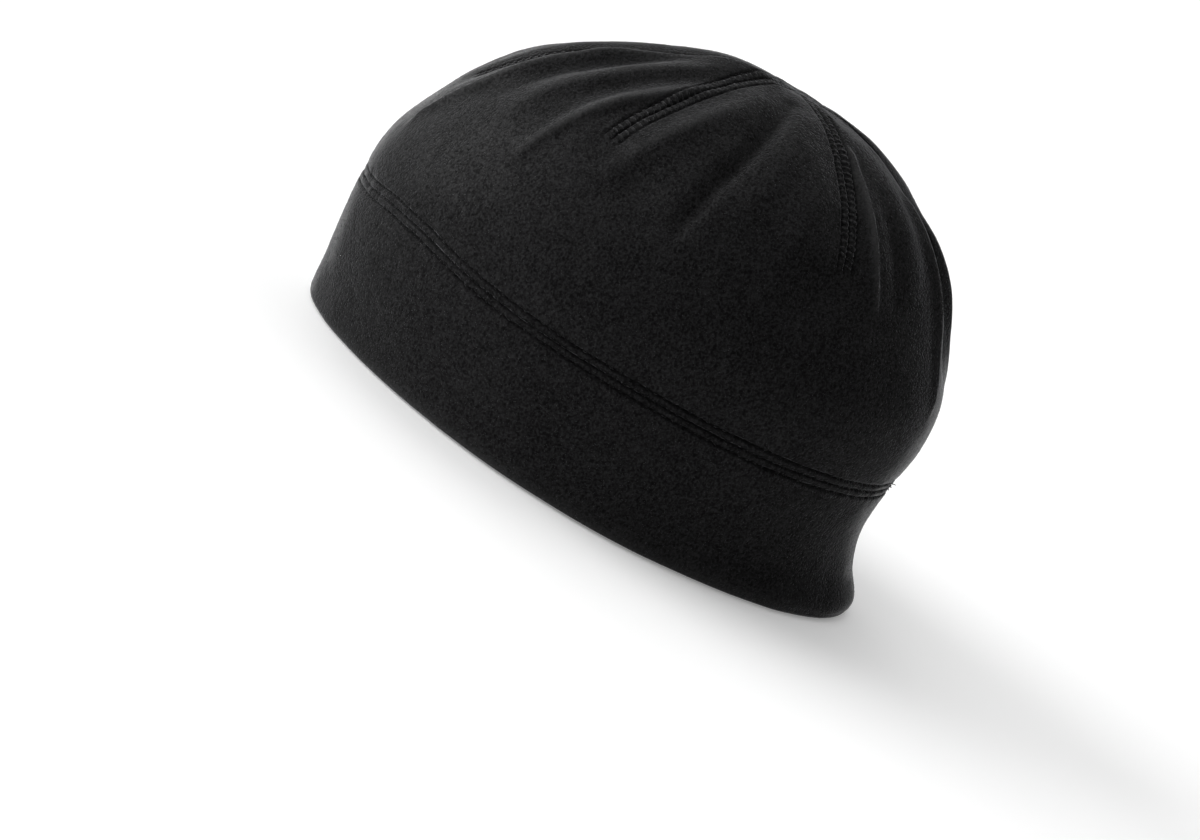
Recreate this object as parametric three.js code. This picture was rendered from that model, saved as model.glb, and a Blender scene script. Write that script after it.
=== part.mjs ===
// A pull-on fleece cap: a band folded double at the hem, and a one-piece crown drawn in by six sewn darts.
// Millimetres, +Z up. The hem rests on z = 0 and its middle is the origin.
// The forehead faces -Y and the wearer's left is +X. A direction is in degrees from the forehead to the left.
import * as THREE from "three";

// Driving sizes
const crownWall = 2.2; // one layer of fleece
const bandWall = 4.2; // two layers of fleece
const pieceGap = 0.3; // between the crown's lower edge and the band's upper edge
const hemSink = 0.2; // how far the soft hem fold is pressed flat where it rests
const fleeceColor = { crown: 0x1c1c1d, band: 0x1a1a1b };

// The seam between band and crown, by its height over the hem, with a crest on each side of the forehead
const seam = { front: 43.2, side: 45.6, back: 44.8, crestTurn: 41, crest: 3.6, crestHalf: 19 };
const seamGroove = { depth: 0.6, half: 4.0 };

// The outer skin in level sections: how far it reaches forward, back and to each side.
// slim is the share by which the plan draws in between those four reaches, and at 0 it is an ellipse.
const sections = [
  { name: "hem edge", height: 0.0, front: -98.9, back: 102.4, side: 78.2, slim: 0.07 },
  { name: "nape flare", height: 5.0, front: -99.5, back: 103.4, side: 78.8, slim: 0.065 },
  { name: "above the flare", height: 14.0, front: -100.4, back: 97.2, side: 79.2, slim: 0.04 },
  { name: "nape pinch", height: 27.0, front: -102.4, back: 93.2, side: 79.8, slim: 0.01 },
  { name: "at the seam", height: 43.0, front: -103.4, back: 93.8, side: 80.6, slim: 0.0 },
  { name: "widest", height: 60.0, front: -102.0, back: 95.4, side: 81.0, slim: 0.0 },
  { name: "above the widest", height: 76.0, front: -95.8, back: 93.0, side: 78.2, slim: 0.0 },
  { name: "shoulder", height: 92.0, front: -86.2, back: 84.2, side: 71.0, slim: 0.0 },
  { name: "dart ends", height: 106.0, front: -74.0, back: 75.0, side: 61.2, slim: 0.0 },
  { name: "drawn in", height: 118.0, front: -56.8, back: 63.0, side: 48.4, slim: 0.0 },
  { name: "cap", height: 127.4, front: -38.9, back: 47.4, side: 34.0, slim: 0.0 },
  { name: "top", height: 134.2, front: -20.4, back: 28.4, side: 18.4, slim: 0.0 },
  { name: "apex", height: 136.9, front: 2.6, back: 2.6, side: 0.0, slim: 0.0 },
];

// The darts run out from one gathering place, given on the crown laid flat, and lie in valleys.
// bow is how far a dart's line bends aside halfway, towards greater directions where it is above zero.
const gather = new THREE.Vector2(-5, 0);
const darts = [
  { name: "front", direction: 2.9, length: 98, depth: 0.8, bow: 0 },
  { name: "front left", direction: 61.2, length: 84, depth: 1.3, bow: -3.7 },
  { name: "back left", direction: 123.0, length: 81, depth: 1.1, bow: -2.4 },
  { name: "back", direction: 176.7, length: 88, depth: 2.0, bow: 0 },
  { name: "back right", direction: 232.7, length: 73, depth: 1.3, bow: 2.4 },
  { name: "front right", direction: 302.4, length: 76, depth: 1.3, bow: 3.7 },
];
const valley = { half: 6.5, lipOffset: 11.0, lipHalf: 4.0, lipHeight: 0.2 };
const valleyAlong = { starts: 2, deep: 26, wide: 38, leastWidth: 0.3, fadesFrom: -4, fadesTo: 14 };
const apexPit = { depth: 1.0, half: 9 };

// Pulls in the cloth: a ridge is above zero and a crease below. Each runs straight between two places on the
// crown laid flat, given by run, the distance down the cloth from the apex, and direction.
const folds = [
  { name: "front dart, left lip", run1: 50, turn1: 8, run2: 104, turn2: 9.5, height: 1.9, half: 3.8 },
  { name: "front dart, left hollow", run1: 36, turn1: 22, run2: 84, turn2: 21, height: -0.9, half: 4.5 },
  { name: "front left ridge", run1: 18, turn1: 34, run2: 92, turn2: 35, height: 1.7, half: 5.0 },
  { name: "front left hollow", run1: 44, turn1: 42, run2: 80, turn2: 42, height: -0.9, half: 4.4 },
  { name: "front left dart, front lip", run1: 40, turn1: 50, run2: 100, turn2: 49, height: 2.4, half: 3.6 },
  { name: "front left dart, back lip", run1: 40, turn1: 70, run2: 88, turn2: 67.5, height: 1.5, half: 5.5 },
  { name: "left crease", run1: 20, turn1: 87.5, run2: 92, turn2: 86.5, height: -2.5, half: 4.4 },
  { name: "bulge past the left crease", run1: 24, turn1: 97, run2: 78, turn2: 95, height: 1.3, half: 5.0 },
  { name: "front left dart hollow", run1: 84, turn1: 66, run2: 92, turn2: 78, height: -1.6, half: 9.0 },
  { name: "back left dart hollow", run1: 82, turn1: 124, run2: 97, turn2: 114, height: -1.4, half: 8.0 },
  { name: "back left dart, front lip", run1: 40, turn1: 113, run2: 78, turn2: 115, height: 0.9, half: 5.0 },
  { name: "back left dart, back lip", run1: 34, turn1: 133, run2: 84, turn2: 135, height: 1.8, half: 3.6 },
  { name: "back left hollow", run1: 44, turn1: 141, run2: 82, turn2: 142, height: -1.0, half: 4.4 },
  { name: "back left bulge", run1: 26, turn1: 153, run2: 74, turn2: 151, height: 1.6, half: 7.0 },
  { name: "back dart, left lip", run1: 48, turn1: 172, run2: 104, turn2: 174, height: 1.7, half: 4.0 },
  { name: "back dart, right lip", run1: 56, turn1: 188, run2: 106, turn2: 190, height: 2.3, half: 6.0 },
  { name: "back right bulge", run1: 30, turn1: 209, run2: 78, turn2: 212, height: 1.4, half: 8.0 },
  { name: "back right dart, back lip", run1: 36, turn1: 227, run2: 80, turn2: 226, height: 1.6, half: 3.8 },
  { name: "back right dart, front lip", run1: 40, turn1: 246, run2: 78, turn2: 245, height: 1.1, half: 5.0 },
  { name: "right crease", run1: 26, turn1: 271, run2: 88, turn2: 273, height: -2.1, half: 5.0 },
  { name: "bulge by the right crease", run1: 30, turn1: 260, run2: 74, turn2: 262, height: 1.1, half: 7.0 },
  { name: "front right dart, back lip", run1: 42, turn1: 292, run2: 84, turn2: 293, height: 1.2, half: 5.0 },
  { name: "front right dart, front lip", run1: 42, turn1: 310, run2: 94, turn2: 311, height: 1.9, half: 3.8 },
  { name: "front right ridge", run1: 30, turn1: 327, run2: 88, turn2: 326, height: 1.0, half: 6.0 },
  { name: "front dart, right lip", run1: 80, turn1: 350, run2: 112, turn2: 350, height: 0.9, half: 5.0 },
];

// Mesh steps
const columns = 96; // round the head
const columnCrowding = 0.35; // how much closer the columns stand at the darts
const leastLineRun = 12; // nearer the apex the columns keep the dart lines' directions from here
const searchSteps = 40; // halvings when a height or a run is looked for
const crownOuterLoops = 24;
const crownInnerLoops = 14;
const runSteps = 240; // along the cloth when its length is measured
const levelRise = 26; // millimetres over the seam from which the outward way is square to the skin
const probe = 0.01; // rows and radians each way, when a slope is measured
// Where the band's loops lie, as shares of its height: down the outside, and up the inside
const bandOuterShares = [1, 0.87, 0.73, 0.59, 0.45, 0.31, 0.2, 0.12];
const bandInnerShares = [0.2, 0.45, 0.73, 1];
const foldSteps = 3; // from the wall to the flat foot, on each side

const lastRow = sections.length - 1;
const radians = THREE.MathUtils.degToRad;
const smooth = THREE.MathUtils.smoothstep;

// A bell: one at the middle, falling to about a third at the half width.
const bell = (distance, half) => Math.exp(-((distance / half) ** 2));

// A place on the crown laid flat, seen from above with the apex in the middle
const flatPlace = (run, angle) => new THREE.Vector2(run * Math.sin(angle), -run * Math.cos(angle));

// The section that lies the given number of rows up: a Catmull-Rom curve through the table.
// Past the apex the rows come back mirrored, so that the cap closes level.
function sectionAt(row) {
  const measures = ["height", "front", "back", "side", "slim"];
  const k = Math.min(Math.floor(row), lastRow - 1);
  const u = row - k;
  const pick = (index, column) => {
    if (index < 0) return 2 * sections[0][column] - sections[1][column];
    if (index <= lastRow) return sections[index][column];
    const mirrored = sections[2 * lastRow - index][column];
    const turnsOver = column === "front" || column === "back" || column === "side";
    return turnsOver ? 2 * sections[lastRow][column] - mirrored : mirrored;
  };
  const found = {};
  for (const column of measures) {
    const [a, b, c, d] = [-1, 0, 1, 2].map((step) => pick(k + step, column));
    const bend = (2 * a - 5 * b + 4 * c - d) * u * u;
    const twist = (3 * b - a - 3 * c + d) * u * u * u;
    found[column] = 0.5 * (2 * b + (c - a) * u + bend + twist);
  }
  return found;
}

// The smooth skin without folds: an ellipse round each section, drawn in between its reaches by slim.
function plainPoint(angle, row) {
  const s = sectionAt(row);
  const middle = (s.front + s.back) / 2;
  const half = (s.back - s.front) / 2;
  const [across, along] = [Math.sin(angle), Math.cos(angle)];
  const x = s.side * across * (1 - s.slim * along * along);
  const y = middle - half * along * (1 - s.slim * across * across);
  return new THREE.Vector3(x, y, s.height);
}

// Round the head from front to side to back by the square of the cosine, with a crest on each side.
function seamHeight(angle) {
  const ends = Math.cos(angle) > 0 ? seam.front : seam.back;
  const aside = THREE.MathUtils.radToDeg(Math.acos(Math.cos(angle)));
  const crest = seam.crest * bell(aside - seam.crestTurn, seam.crestHalf);
  return seam.side + (ends - seam.side) * Math.cos(angle) ** 2 + crest;
}

// Outward from the plain skin. It is level at the seam and below, so that the two edges there stay apart,
// and square to the skin from levelRise above the seam.
function outward(angle, row) {
  const low = Math.min(row, lastRow - 2 * probe);
  const around = plainPoint(angle + probe, low).sub(plainPoint(angle - probe, low));
  const upward = plainPoint(angle, low + probe).sub(plainPoint(angle, Math.max(low - probe, 0)));
  const out = around.cross(upward);
  out.z *= smooth(sectionAt(low).height - seamHeight(angle), 1, levelRise);
  return out.normalize();
}

// How far down the cloth each row lies from the apex, on a meridian of mean width.
const runTable = [];
for (let i = 0; i <= runSteps; i++) {
  const s = sectionAt((lastRow * i) / runSteps);
  runTable.push(new THREE.Vector2((s.side + (s.back - s.front) / 2) / 2, s.height));
}
const runs = new Array(runSteps + 1).fill(0);
for (let i = runSteps - 1; i >= 0; i--) {
  runs[i] = runs[i + 1] + runTable[i].distanceTo(runTable[i + 1]);
}

function runOf(row) {
  const at = (row / lastRow) * runSteps;
  const k = Math.min(Math.floor(at), runSteps - 1);
  return THREE.MathUtils.lerp(runs[k], runs[k + 1], at - k);
}

function rowAtHeight(height) {
  let [low, high] = [0, lastRow];
  for (let i = 0; i < searchSteps; i++) {
    const middle = (low + high) / 2;
    if (sectionAt(middle).height < height) low = middle;
    else high = middle;
  }
  return low;
}

// A dart's line bends aside as a parabola, nothing at its two ends and bow halfway.
function bowAt(dart, along) {
  const share = THREE.MathUtils.clamp(along / dart.length, 0, 1);
  return dart.bow * 4 * share * (1 - share);
}

// The direction in which a dart's line lies when it is the given run from the apex
function lineDirection(dart, run) {
  const ahead = flatPlace(1, radians(dart.direction));
  const aside = new THREE.Vector2(-ahead.y, ahead.x);
  const wanted = Math.max(run, leastLineRun);
  const placeAt = (along) =>
    gather.clone().addScaledVector(ahead, along).addScaledVector(aside, bowAt(dart, along));
  let [near, far] = [0, wanted + 2 * leastLineRun];
  for (let i = 0; i < searchSteps; i++) {
    const middle = (near + far) / 2;
    if (placeAt(middle).length() < wanted) near = middle;
    else far = middle;
  }
  const place = placeAt(near);
  return Math.atan2(place.x, -place.y);
}

// A dart's valley with a soft lip along each side. It narrows towards the apex and fades past the dart's end.
function dartRelief(dart, place, run) {
  const line = flatPlace(1, radians(dart.direction));
  const out = place.clone().sub(gather);
  const along = out.dot(line);
  const across = Math.abs(line.cross(out) - bowAt(dart, along));
  const width = THREE.MathUtils.clamp(run / valleyAlong.wide, valleyAlong.leastWidth, 1);
  const floor = -dart.depth * bell(across, valley.half * width);
  const lips = valley.lipHeight * bell(across - valley.lipOffset * width, valley.lipHalf * width);
  const begun = smooth(along, valleyAlong.starts, valleyAlong.deep);
  const over = smooth(along - dart.length, valleyAlong.fadesFrom, valleyAlong.fadesTo);
  return (floor + lips) * begun * (1 - over);
}

// A fold's height: a bell across it, strongest halfway along and under half of that at its ends.
function foldRelief(fold, place) {
  const start = flatPlace(fold.run1, radians(fold.turn1));
  const end = flatPlace(fold.run2, radians(fold.turn2));
  const way = end.clone().sub(start);
  const share = THREE.MathUtils.clamp(place.clone().sub(start).dot(way) / way.lengthSq(), 0, 1);
  const distance = place.distanceTo(start.addScaledVector(way, share));
  return fold.height * Math.sin(Math.PI * (0.15 + 0.7 * share)) * bell(distance, fold.half);
}

function relief(angle, row) {
  const run = runOf(row);
  const place = flatPlace(run, angle);
  let height = -apexPit.depth * bell(place.distanceTo(gather), apexPit.half);
  for (const dart of darts) height += dartRelief(dart, place, run);
  for (const fold of folds) height += foldRelief(fold, place);
  height -= seamGroove.depth * bell(sectionAt(row).height - seamHeight(angle), seamGroove.half);
  return height;
}

// A point at the given depth under the folded outer skin
function skinPoint(angle, row, depth) {
  return plainPoint(angle, row).addScaledVector(outward(angle, row), relief(angle, row) - depth);
}

// One loop round the head, at the given run. Its columns follow the dart lines and crowd towards them.
function loopOf(run, pointAt) {
  const turn = 2 * Math.PI;
  const each = columns / darts.length;
  const lines = darts.map((dart) => lineDirection(dart, run));
  const loop = [];
  for (let i = 0; i < columns; i++) {
    const line = lines[Math.floor(i / each)];
    const next = lines[(Math.floor(i / each) + 1) % darts.length];
    const share = (i % each) / each;
    const crowded = share - (columnCrowding / turn) * Math.sin(turn * share);
    loop.push(pointAt(line + THREE.MathUtils.euclideanModulo(next - line, turn) * crowded));
  }
  return loop;
}

// A closed surface from a chain of loops. Two poles cap it with fans, and without them it joins up in a ring.
function chainGeometry(loops, poles) {
  const points = loops.flat();
  const index = [];
  const pairs = poles ? loops.length - 1 : loops.length;
  for (let k = 0; k < pairs; k++) {
    const [here, next] = [k * columns, ((k + 1) % loops.length) * columns];
    for (let i = 0; i < columns; i++) {
      const j = (i + 1) % columns;
      index.push(here + i, next + i, next + j, here + i, next + j, here + j);
    }
  }
  if (poles) {
    const [first, last] = [points.length, points.length + 1];
    const end = (loops.length - 1) * columns;
    points.push(...poles);
    for (let i = 0; i < columns; i++) {
      const j = (i + 1) % columns;
      index.push(first, i, j, last, end + j, end + i);
    }
  }
  const geometry = new THREE.BufferGeometry().setFromPoints(points);
  geometry.setIndex(index);
  geometry.computeVertexNormals();
  return geometry;
}

function fleece(shade) {
  return new THREE.MeshStandardMaterial({ color: shade, roughness: 0.95, metalness: 0 });
}

// The crown: down the outside from the apex, round the lower edge, and up the inside.
function crown() {
  const lowest = (angle) => rowAtHeight(seamHeight(angle) + pieceGap / 2);
  const runAt = (share) => runOf(lastRow - share * (lastRow - rowAtHeight(seam.side)));
  const loopAt = (share, depth) =>
    loopOf(runAt(share), (angle) => skinPoint(angle, lastRow - share * (lastRow - lowest(angle)), depth));
  const loops = [];
  for (let k = 1; k <= crownOuterLoops; k++) loops.push(loopAt(k / crownOuterLoops, 0));
  for (let k = crownInnerLoops; k >= 1; k--) loops.push(loopAt(k / crownInnerLoops, crownWall));
  const apex = sections[lastRow];
  const top = new THREE.Vector3(0, apex.front, apex.height + relief(0, lastRow));
  const poles = [top, top.clone().setZ(top.z - crownWall)];
  const mesh = new THREE.Mesh(chainGeometry(loops, poles), fleece(fleeceColor.crown));
  mesh.name = "crown";
  return mesh;
}

// The band: down the outside from the seam, round the hem fold with its flat foot, and up the inside.
function band() {
  const seamRun = runOf(rowAtHeight(seam.side));
  const height = (angle) => seamHeight(angle) - pieceGap / 2;
  const wallLoop = (share, depth) =>
    loopOf(seamRun, (angle) => skinPoint(angle, rowAtHeight(share * height(angle)), depth));
  const foldRadius = bandWall / 2;
  const foldMiddle = foldRadius - hemSink;
  const foot = Math.asin(foldMiddle / foldRadius);
  const foldLoop = (turn) =>
    loopOf(seamRun, (angle) => {
      const point = skinPoint(angle, rowAtHeight(foldMiddle), foldRadius * (1 - Math.cos(turn)));
      return point.setZ(Math.max(0, foldMiddle - foldRadius * Math.sin(turn)));
    });
  const loops = [];
  for (const share of bandOuterShares) loops.push(wallLoop(share, 0));
  for (let k = 0; k <= foldSteps; k++) loops.push(foldLoop((foot * k) / foldSteps));
  for (let k = foldSteps; k >= 0; k--) loops.push(foldLoop(Math.PI - (foot * k) / foldSteps));
  for (const share of bandInnerShares) loops.push(wallLoop(share, bandWall));
  const mesh = new THREE.Mesh(chainGeometry(loops), fleece(fleeceColor.band));
  mesh.name = "band";
  return mesh;
}

const cap = new THREE.Group();
cap.add(crown(), band());

export default cap;
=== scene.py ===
# A black fleece beanie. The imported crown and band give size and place; this script gives them their cloth,
# their stitching and their nap, and sets a plain studio round them.
import math
import bpy
import numpy as np
from mathutils import Matrix, Vector


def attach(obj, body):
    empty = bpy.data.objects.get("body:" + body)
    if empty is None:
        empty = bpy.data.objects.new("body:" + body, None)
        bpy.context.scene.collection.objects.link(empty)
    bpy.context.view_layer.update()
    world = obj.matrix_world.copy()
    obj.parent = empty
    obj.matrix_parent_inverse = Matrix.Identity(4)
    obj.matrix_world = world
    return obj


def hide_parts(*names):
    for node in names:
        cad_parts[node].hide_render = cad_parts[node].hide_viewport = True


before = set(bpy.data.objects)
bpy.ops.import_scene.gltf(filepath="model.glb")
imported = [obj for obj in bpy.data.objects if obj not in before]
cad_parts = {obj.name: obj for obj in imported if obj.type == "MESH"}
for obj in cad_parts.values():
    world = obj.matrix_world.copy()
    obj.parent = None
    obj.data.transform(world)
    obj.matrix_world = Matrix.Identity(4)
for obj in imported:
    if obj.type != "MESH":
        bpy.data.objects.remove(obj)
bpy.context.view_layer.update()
scene = bpy.context.scene
mm = 0.001  # the shapes below are worked out in millimetres, and go into the meshes in metres

# The outer skin in level sections: how far it reaches forward, back and to each side.
# slim is the share by which the plan draws in between those four reaches.
sections = [
    dict(name="hem edge", height=0.0, front=-98.9, back=102.4, side=78.2, slim=0.07),
    dict(name="nape flare", height=5.0, front=-99.5, back=103.4, side=78.8, slim=0.065),
    dict(name="above the flare", height=14.0, front=-100.4, back=97.2, side=79.2, slim=0.04),
    dict(name="nape pinch", height=27.0, front=-102.4, back=93.2, side=79.8, slim=0.01),
    dict(name="at the seam", height=43.0, front=-103.4, back=93.8, side=80.6, slim=0.0),
    dict(name="widest", height=60.0, front=-102.0, back=95.4, side=81.0, slim=0.0),
    dict(name="above the widest", height=76.0, front=-95.8, back=93.0, side=78.2, slim=0.0),
    dict(name="shoulder", height=92.0, front=-86.2, back=84.2, side=71.0, slim=0.0),
    dict(name="dart ends", height=106.0, front=-74.0, back=75.0, side=61.2, slim=0.0),
    dict(name="drawn in", height=118.0, front=-56.8, back=63.0, side=48.4, slim=0.0),
    dict(name="cap", height=127.4, front=-38.9, back=47.4, side=34.0, slim=0.0),
    dict(name="top", height=134.2, front=-20.4, back=28.4, side=18.4, slim=0.0),
    dict(name="apex", height=136.9, front=2.6, back=2.6, side=0.0, slim=0.0),
]
# The seam's height, with a crest that it rises to on each side of the forehead, and its three needle lines
seam = dict(front=43.2, side=45.6, back=44.8, crestTurn=41, crest=3.6, crestHalf=19, dip=0.35, dipHalf=5.0,
            lineGap=2.55, lineDepth=0.6, lineHalf=0.5)

# The six darts run out from one gathering place, given on the crown laid flat. Where the photograph asks for
# it, this table and that of the folds depart a little from the imported skin's. bow is how far each line bends
# aside halfway, towards greater directions where it is above zero, and shade how far painted shade darkens
# the colour of its valley.
gather = (-5.0, 0.0)
darts = [
    dict(name="front", direction=9.0, length=98, depth=1.4, bow=6.0, shade=0.6),
    dict(name="frontLeft", direction=61.2, length=84, depth=0.6, bow=-3.4),
    dict(name="backLeft", direction=123.0, length=81, depth=0.5, bow=-2.4),
    dict(name="back", direction=176.7, length=96, depth=2.0, bow=0.0, shade=0.35),
    dict(name="backRight", direction=232.7, length=73, depth=1.3, bow=2.4),
    dict(name="frontRight", direction=302.4, length=76, depth=1.3, bow=3.7),
]
valley = dict(half=6.5, lipOffset=11.0, lipHalf=4.0, lipHeight=0.2)
valleyAlong = dict(starts=2, deep=26, wide=38, leastWidth=0.3, fadesFrom=-4, fadesTo=14)
dartSeam = dict(lineGap=2.8, lineDepth=0.45, lineHalf=0.45, starts=3, full=14.0, fadesFrom=-1, fadesTo=2)
apexPit = dict(depth=1.0, half=9)

# Pulls in the cloth: a ridge is above zero and a crease below. Each runs between two places on the crown laid
# flat, given by run, the distance down the cloth from the apex, and turn, its direction. half is its half
# width, and nearHalf and farHalf those of its sides towards lesser and greater directions, where they differ.
# bow bends it aside as it does a dart. crest is how bright a painted highlight along its top is, standing in
# for the light that the top catches.
folds = [
    dict(name="front dart, left lip", run1=50, turn1=13, run2=116, turn2=14, bow=8.5, height=2.5, half=4.0,
         nearHalf=1.8, crest=0.45),
    dict(name="front dart, upper lip", run1=12, turn1=34, run2=60, turn2=19, height=2.0, half=4.4),
    dict(name="front dart, left hollow", run1=34, turn1=23, run2=92, turn2=27, height=-1.3, half=4.0),
    dict(name="front left ridge", run1=18, turn1=34, run2=92, turn2=35, height=1.9, half=5.0, crest=0.25),
    dict(name="front left hollow", run1=44, turn1=42, run2=80, turn2=42, height=-0.9, half=4.0),
    dict(name="front left dart, front lip", run1=40, turn1=52, run2=100, turn2=48.5, height=2.0, half=3.4,
         farHalf=2.7, crest=0.35),
    dict(name="front left dart, back lip", run1=30, turn1=69, run2=88, turn2=66.5, height=1.6, half=4.0,
         farHalf=6.0, crest=0.2),
    dict(name="left crease", run1=20, turn1=88.5, run2=92, turn2=86.5, height=-2.9, half=4.0, farHalf=1.8),
    dict(name="bulge past the left crease", run1=24, turn1=98, run2=78, turn2=96, height=1.3, half=5.0),
    dict(name="front left dart hollow", run1=84, turn1=66, run2=92, turn2=78, height=-2.1, half=8.0),
    dict(name="back left dart hollow", run1=80, turn1=125, run2=96, turn2=115, height=-2.2, half=7.0),
    dict(name="back left dart, front lip", run1=38, turn1=109, run2=82, turn2=110, height=1.3, half=6.0),
    dict(name="back left dart, back lip", run1=30, turn1=133, run2=84, turn2=136, bow=-2.6, height=1.9,
         half=3.0, farHalf=1.1, crest=0.5),
    dict(name="back left hollow", run1=44, turn1=142, run2=82, turn2=143, height=-1.0, half=4.0),
    dict(name="back left bulge", run1=26, turn1=153, run2=74, turn2=151, height=1.2, half=7.0),
    dict(name="back dart, left lip", run1=46, turn1=167, run2=108, turn2=166, height=2.3, half=4.4,
         farHalf=1.1, crest=0.2),
    dict(name="back dart, right lip", run1=56, turn1=188, run2=106, turn2=190, height=2.5, half=5.0),
    dict(name="back right bulge", run1=30, turn1=209, run2=78, turn2=212, height=1.4, half=8.0),
    dict(name="back right dart, back lip", run1=36, turn1=227, run2=80, turn2=226, height=1.6, half=3.4),
    dict(name="back right dart, front lip", run1=40, turn1=246, run2=78, turn2=245, height=1.1, half=5.0),
    dict(name="right crease", run1=26, turn1=271, run2=88, turn2=273, height=-2.1, half=5.0, nearHalf=2.5),
    dict(name="bulge by the right crease", run1=30, turn1=260, run2=74, turn2=262, height=1.1, half=7.0),
    dict(name="front right dart, back lip", run1=42, turn1=292, run2=84, turn2=293, height=1.2, half=5.0),
    dict(name="front right dart, front lip", run1=42, turn1=310, run2=94, turn2=311, height=1.9, half=3.4),
    dict(name="front right ridge", run1=30, turn1=327, run2=88, turn2=326, height=1.0, half=6.0),
    dict(name="front dart, right lip", run1=80, turn1=350, run2=112, turn2=350, height=0.9, half=5.0),
]

# How far into the half sine of its length a fold begins, in its height and in the painted highlight along its
# top
foldBegins = dict(height=0.15, crest=0.1)
crestHalf = 1.8  # half width of that painted highlight

# Soft unevenness of worn fleece: smooth random heights, by how far apart their lumps lie
unevenness = [
    dict(size=26.0, height=0.45, seed=3),
    dict(size=9.0, height=0.16, seed=5),
    dict(size=3.5, height=0.05, seed=8),
]
# Small ripples that the stitching draws up beside the band's seam and beside the darts
pucker = dict(size=5.2, height=0.22, half=4.5, seamSeed=17, dartSeed=19)
apexPucker = dict(size=4.2, height=0.9, half=9.0, seed=23)  # the lumps where the six darts are gathered
seamBump = dict(size=2.3, height=0.17, seed=31)  # between the band's needle lines
seamStray = dict(size=13.0, most=0.3, seed=29)  # how far those lines stray from the seam's own height
lineUneven = dict(size=2.2, share=0.55, seed=13)  # the lines are deeper at some stitches than at others

# Column tables for the section curve, each with one row before the hem and two past the apex
lastRow = len(sections) - 1
sectionTables = {}
for column in ("height", "front", "back", "side", "slim"):
    values = np.array([s[column] for s in sections])
    mirrored = values[[-2, -3]]
    if column in ("front", "back", "side"):
        mirrored = 2 * values[-1] - mirrored
    sectionTables[column] = np.concatenate(([2 * values[0] - values[1]], values, mirrored))


def measure(column, row):
    # Catmull-Rom curve through one column of the table, so many rows up from the hem
    table = sectionTables[column]
    k = np.clip(np.floor(row).astype(int), 0, lastRow - 1)
    u = row - k
    a, b, c, d = table[k], table[k + 1], table[k + 2], table[k + 3]
    return 0.5 * (2 * b + (c - a) * u + (2 * a - 5 * b + 4 * c - d) * u**2 + (3 * b - a - 3 * c + d) * u**3)


def plainPoint(angle, row):
    # An ellipse round each section, drawn in between its four reaches by slim
    front, back, slim = measure("front", row), measure("back", row), measure("slim", row)
    across, along = np.sin(angle), np.cos(angle)
    x = measure("side", row) * across * (1 - slim * along**2)
    y = (front + back) / 2 - (back - front) / 2 * along * (1 - slim * across**2)
    return np.stack([x, y, measure("height", row) + 0 * x], axis=-1)


def seamHeight(angle):
    # Round the head from front to side to back by the square of the cosine, with a crest on each side
    ends = np.where(np.cos(angle) > 0, seam["front"], seam["back"])
    aside = np.degrees(np.arccos(np.clip(np.cos(angle), -1, 1)))
    crest = seam["crest"] * np.exp(-(((aside - seam["crestTurn"]) / seam["crestHalf"]) ** 2))
    return seam["side"] + (ends - seam["side"]) * np.cos(angle) ** 2 + crest


def smooth(value, low, high):
    share = np.clip((value - low) / (high - low), 0, 1)
    return share * share * (3 - 2 * share)


levelRise = (1, 26)  # over this height above the seam the outward way turns from level to square


def outward(angle, row):
    # Square to the plain skin, from the slopes round and up it, and level at the seam and below
    probe = 0.01
    row = np.minimum(row, lastRow - 2 * probe)
    around = plainPoint(angle + probe, row) - plainPoint(angle - probe, row)
    upward = plainPoint(angle, row + probe) - plainPoint(angle, np.maximum(row - probe, 0))
    out = np.cross(around, upward)
    out[..., 2] *= smooth(measure("height", row) - seamHeight(angle), *levelRise)
    return out / np.linalg.norm(out, axis=-1, keepdims=True)


# Fine tables: each row's height, mean reach, and run, its distance down the cloth from the apex
fineCount = 961
leastReach = 0.5  # a reach counts as no less than this, so that nothing is divided by zero at the apex
fineRows = np.linspace(0, lastRow, fineCount)
fineHeights = measure("height", fineRows)
fineReaches = (measure("side", fineRows) + (measure("back", fineRows) - measure("front", fineRows)) / 2) / 2
fineSteps = np.hypot(np.diff(fineHeights), np.diff(fineReaches))
fineRuns = np.concatenate((np.cumsum(fineSteps[::-1])[::-1], [0.0]))


def rowAtHeight(height):
    return np.interp(height, fineHeights, fineRows)


def rowAtRun(run):
    return np.interp(run, fineRuns[::-1], fineRows[::-1])


def bell(distance, half):
    return np.exp(-((distance / half) ** 2))


def flatPlace(run, angle):
    # A place on the crown laid flat, seen from above with the apex in the middle
    return np.stack([run * np.sin(angle), -run * np.cos(angle)], axis=-1)


def flatStretch(run):
    # How much wider a distance across the flat crown is than across the real one
    return run / np.maximum(np.interp(run, fineRuns[::-1], fineReaches[::-1]), leastReach)


def bowAt(dart, along):
    # A dart's line bends aside as a parabola, nothing at its two ends and bow halfway
    share = np.clip(along / dart["length"], 0, 1)
    return dart["bow"] * 4 * share * (1 - share)


def alongAndAcross(dart, place):
    # A flat place told by how far it is out along a dart's line, and how far aside from the bowed line
    line = flatPlace(1.0, math.radians(dart["direction"]))
    place = place - np.array(gather)
    along = place @ line
    return along, place[..., 0] * -line[1] + place[..., 1] * line[0] - bowAt(dart, along)


def dartPlace(dart, along, across):
    # The flat place so far along a dart's line and so far aside from it
    turn = math.radians(dart["direction"])
    aside = across + bowAt(dart, along)
    x = gather[0] + along * math.sin(turn) + aside * math.cos(turn)
    y = gather[1] - along * math.cos(turn) + aside * math.sin(turn)
    return np.arctan2(x, -y), np.hypot(x, y)


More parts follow.
